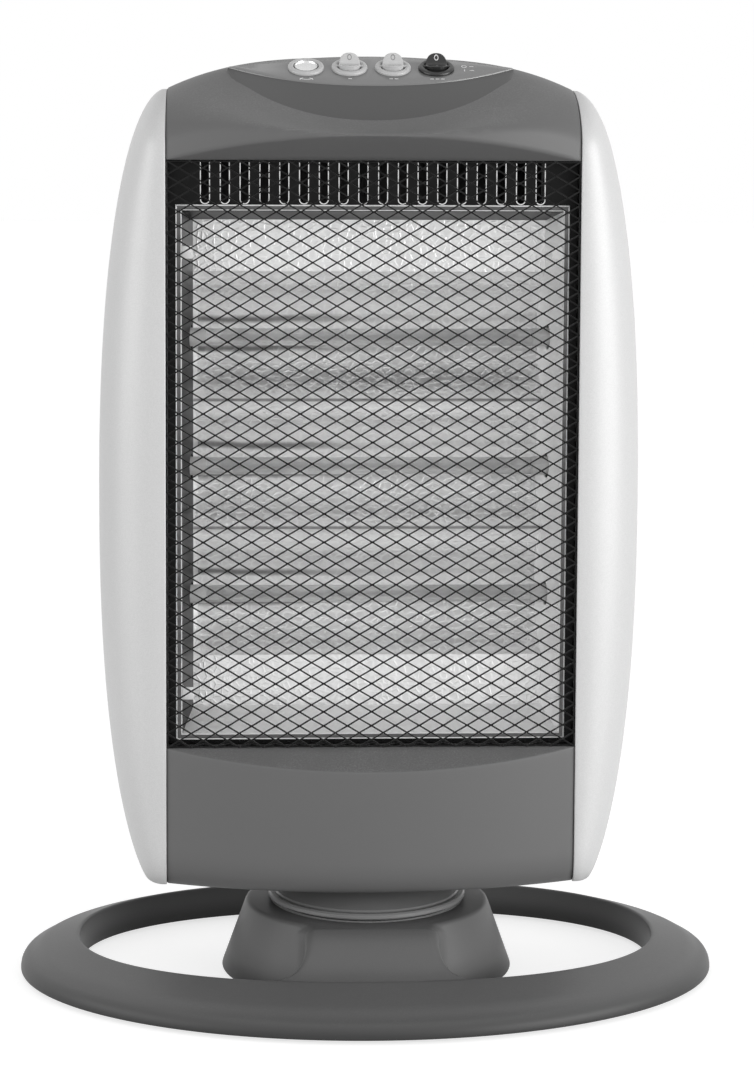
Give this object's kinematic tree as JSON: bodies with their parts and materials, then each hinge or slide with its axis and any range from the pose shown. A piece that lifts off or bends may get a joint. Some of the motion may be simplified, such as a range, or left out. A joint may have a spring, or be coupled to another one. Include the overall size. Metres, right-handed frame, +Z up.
{
  "type": "halogen heater",
  "caption": "Oscillating halogen heater with three quartz lamps behind a diamond guard net, silver side panels, a dark moulded head and an oval ring base",
  "frame": {"origin": "centre of the footprint on the floor, on the swivel axis", "axes": "+Z up the swivel axis, -Y towards the side the heat leaves by, +X to the right as seen from the front"},
  "size_m": [0.453, 0.332, 0.598],
  "materials": {
    "dark_moulding": "semi-matt moulded grey with a fine grain",
    "silver_panel": "smooth metallic silver lacquer",
    "black_plastic": "matt black",
    "white_plastic": "smooth white",
    "orange_plastic": "matt orange",
    "bright_bezel": "bright plated ring",
    "black_paint": "satin black",
    "rear_paint": "satin dark grey",
    "polished_sheet": "bright rolled sheet with an embossed stucco pattern",
    "sheet_steel": "zinc coated sheet",
    "steel_parts": "turned steel",
    "fixings": "dark zinc screws",
    "quartz": "frosted quartz tube",
    "heating_wire": "oxidised coil",
    "lamp_ceramic": "unglazed white",
    "rubber": "matt black rubber"
  },
  "bodies": {
    "base": {"base_stand": "dark_moulding", "base_cover": "black_plastic", "base_cover_screws": "fixings", "rubber_feet": "rubber", "pivot_bush": "white_plastic", "slide_ring": "white_plastic", "drive_plate": "steel_parts", "tip_switch": "black_plastic"},
    "tip_plunger": {"tip_plunger": "orange_plastic"},
    "head": {"swivel_disc": "dark_moulding", "pivot_spindle": "steel_parts", "spindle_washer": "steel_parts", "spindle_nut": "steel_parts", "lower_housing": "dark_moulding", "top_housing": "dark_moulding", "left_side_panel": "silver_panel", "right_side_panel": "silver_panel", "side_panel_screws": "fixings", "left_side_plate": "sheet_steel", "right_side_plate": "sheet_steel", "rear_cover": "rear_paint", "rear_cover_screws": "fixings", "front_frame": "black_paint", "guard_mesh": "black_paint", "reflector": "polished_sheet", "left_reflector_end": "polished_sheet", "right_reflector_end": "polished_sheet", "reflector_tabs": "white_plastic", "heat_shield": "sheet_steel", "upper_lamp_glass": "quartz", "middle_lamp_glass": "quartz", "lower_lamp_glass": "quartz", "upper_lamp_filament": "heating_wire", "middle_lamp_filament": "heating_wire", "lower_lamp_filament": "heating_wire", "upper_lamp_caps": "lamp_ceramic", "middle_lamp_caps": "lamp_ceramic", "lower_lamp_caps": "lamp_ceramic", "left_lamp_holders": "lamp_ceramic", "right_lamp_holders": "lamp_ceramic", "osc_motor": "sheet_steel", "terminal_block": "white_plastic", "thermal_cutout": "black_plastic", "wiring_loom": "black_plastic", "cord_gland": "rubber", "control_pod": "dark_moulding", "turn_switch_body": "bright_bezel", "left_switch_body": "white_plastic", "middle_switch_body": "white_plastic", "right_switch_body": "black_plastic"},
    "crank": {"crank": "white_plastic", "crank_roller": "white_plastic", "motor_shaft": "steel_parts"},
    "turn_button": {"turn_button": "white_plastic"},
    "left_rocker": {"left_rocker": "white_plastic"},
    "middle_rocker": {"middle_rocker": "white_plastic"},
    "right_rocker": {"right_rocker": "black_plastic"}
  },
  "joints": [
    {"name": "head_swivel", "type": "hinge", "parent": "base", "child": "head", "pos_m": [0, 0, 0.047], "axis": [0, 0, 1], "range_deg": [-35, 35]},
    {"name": "crank_turn", "type": "hinge", "parent": "head", "child": "crank", "pos_m": [0, -0.028, 0.038], "axis": [0, 0, 1], "range_deg": [-88, 88]},
    {"name": "tip_plunger_slide", "type": "slide", "parent": "base", "child": "tip_plunger", "axis": [0, 0, -1], "range_m": [0, 0.005], "stiffness_N_per_m": 20, "springref_m": 0.006},
    {"name": "turn_button_press", "type": "slide", "parent": "head", "child": "turn_button", "axis": [0, 0.4226, -0.9063], "range_m": [0, 0.003], "stiffness_N_per_m": 300},
    {"name": "left_rocker_tilt", "type": "hinge", "parent": "head", "child": "left_rocker", "pos_m": [-0.01385, -0.0104, 0.59042], "axis": [1, 0, 0], "range_deg": [-24, 0]},
    {"name": "middle_rocker_tilt", "type": "hinge", "parent": "head", "child": "middle_rocker", "pos_m": [0.01385, -0.0104, 0.59042], "axis": [1, 0, 0], "range_deg": [-24, 0]},
    {"name": "right_rocker_tilt", "type": "hinge", "parent": "head", "child": "right_rocker", "pos_m": [0.04155, -0.0104, 0.59042], "axis": [1, 0, 0], "range_deg": [-24, 0]}
  ],
  "couplings": [
    {"joint": "crank_turn", "follows": "head_swivel", "ratio": -2.5}
  ]
}
